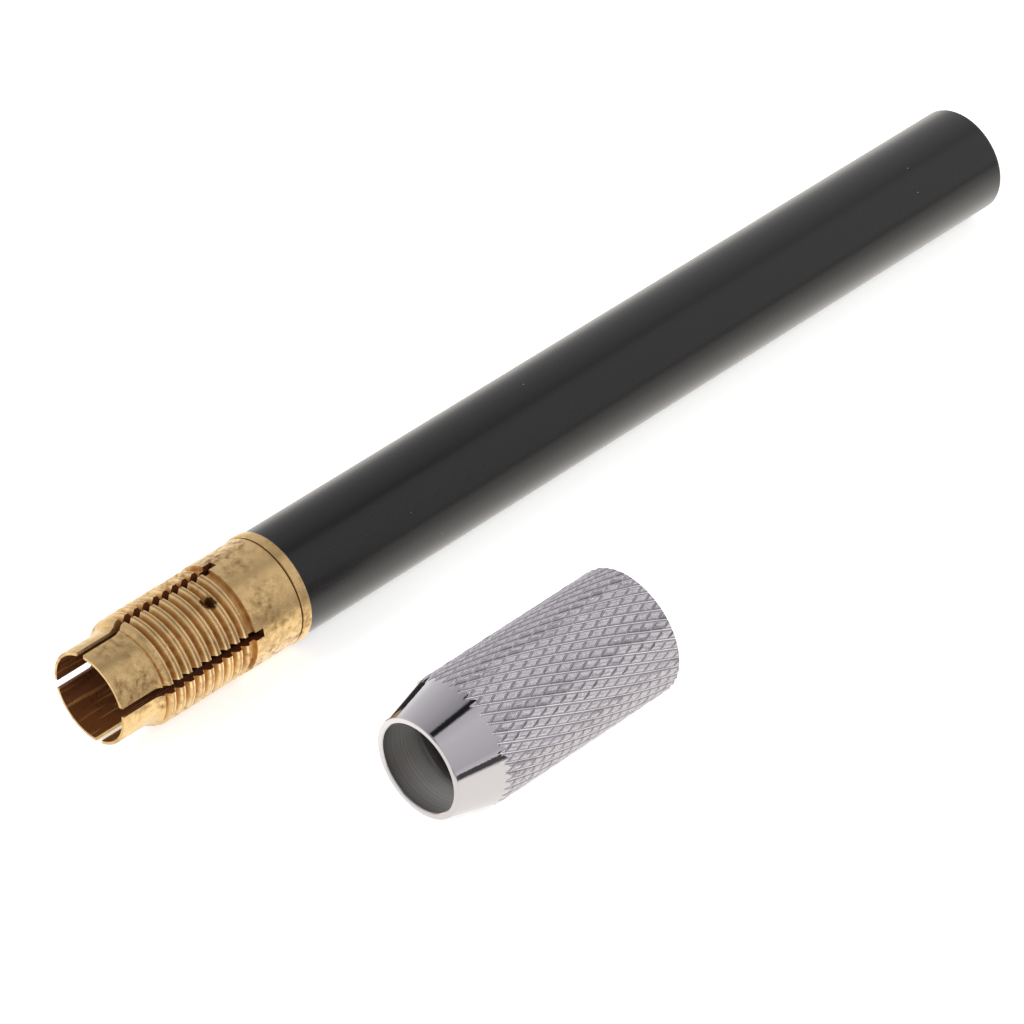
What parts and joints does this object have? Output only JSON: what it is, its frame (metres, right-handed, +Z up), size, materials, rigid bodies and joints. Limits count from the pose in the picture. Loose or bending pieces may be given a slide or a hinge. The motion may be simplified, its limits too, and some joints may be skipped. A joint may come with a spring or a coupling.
{
  "type": "pencil extender",
  "caption": "Long round black holder with a slotted, threaded brass collet in its front end, and a diamond-knurled metal nut with a conical nose that closes the collet on a pencil stub.",
  "frame": {"origin": "on the barrel's axis at the collet's mouth, where the pencil goes in", "axes": "+X runs back along the barrel from the mouth to its closed end, +Z is up from the surface that barrel and nut lie on, and the nut lies on the -Y side"},
  "size_m": [0.1074, 0.0369, 0.0118],
  "materials": {
    "black_lacquer": "smooth semi-gloss black lacquer on a turned rod",
    "brass": "bare turned brass, lightly tarnished",
    "plated_steel": "bright nickel-chrome plate, knurled grip and polished cone"
  },
  "bodies": {
    "barrel": {"barrel": "black_lacquer", "collet_body": "brass"},
    "jaw_1": {"collet_jaw_1": "brass"},
    "jaw_2": {"collet_jaw_2": "brass"},
    "jaw_3": {"collet_jaw_3": "brass"},
    "jaw_4": {"collet_jaw_4": "brass"},
    "nut": {"knurled_nut": "plated_steel"}
  },
  "joints": [
    {"name": "jaw_1_flex", "type": "hinge", "parent": "barrel", "child": "jaw_1", "pos_m": [0.015, -0.00164, 0.00257], "axis": [0, -0.8434, -0.5373], "range_deg": [0, 1], "stiffness_Nm_per_rad": 0.01},
    {"name": "jaw_2_flex", "type": "hinge", "parent": "barrel", "child": "jaw_2", "pos_m": [0.015, -0.00257, -0.00164], "axis": [0, 0.5373, -0.8434], "range_deg": [0, 1], "stiffness_Nm_per_rad": 0.01},
    {"name": "jaw_3_flex", "type": "hinge", "parent": "barrel", "child": "jaw_3", "pos_m": [0.015, 0.00164, -0.00257], "axis": [0, 0.8434, 0.5373], "range_deg": [0, 1], "stiffness_Nm_per_rad": 0.01},
    {"name": "jaw_4_flex", "type": "hinge", "parent": "barrel", "child": "jaw_4", "pos_m": [0.015, 0.00257, 0.00164], "axis": [0, -0.5373, 0.8434], "range_deg": [0, 1], "stiffness_Nm_per_rad": 0.01},
    {"name": "nut_carry", "type": "slide", "parent": "barrel", "child": "nut", "axis": [-0.9296, 0.3685, -0.0104], "range_m": [0, 0.06993]}
  ],
  "couplings": [
    {"joint": "jaw_2_flex", "follows": "jaw_1_flex", "ratio": 1},
    {"joint": "jaw_3_flex", "follows": "jaw_1_flex", "ratio": 1},
    {"joint": "jaw_4_flex", "follows": "jaw_1_flex", "ratio": 1}
  ]
}
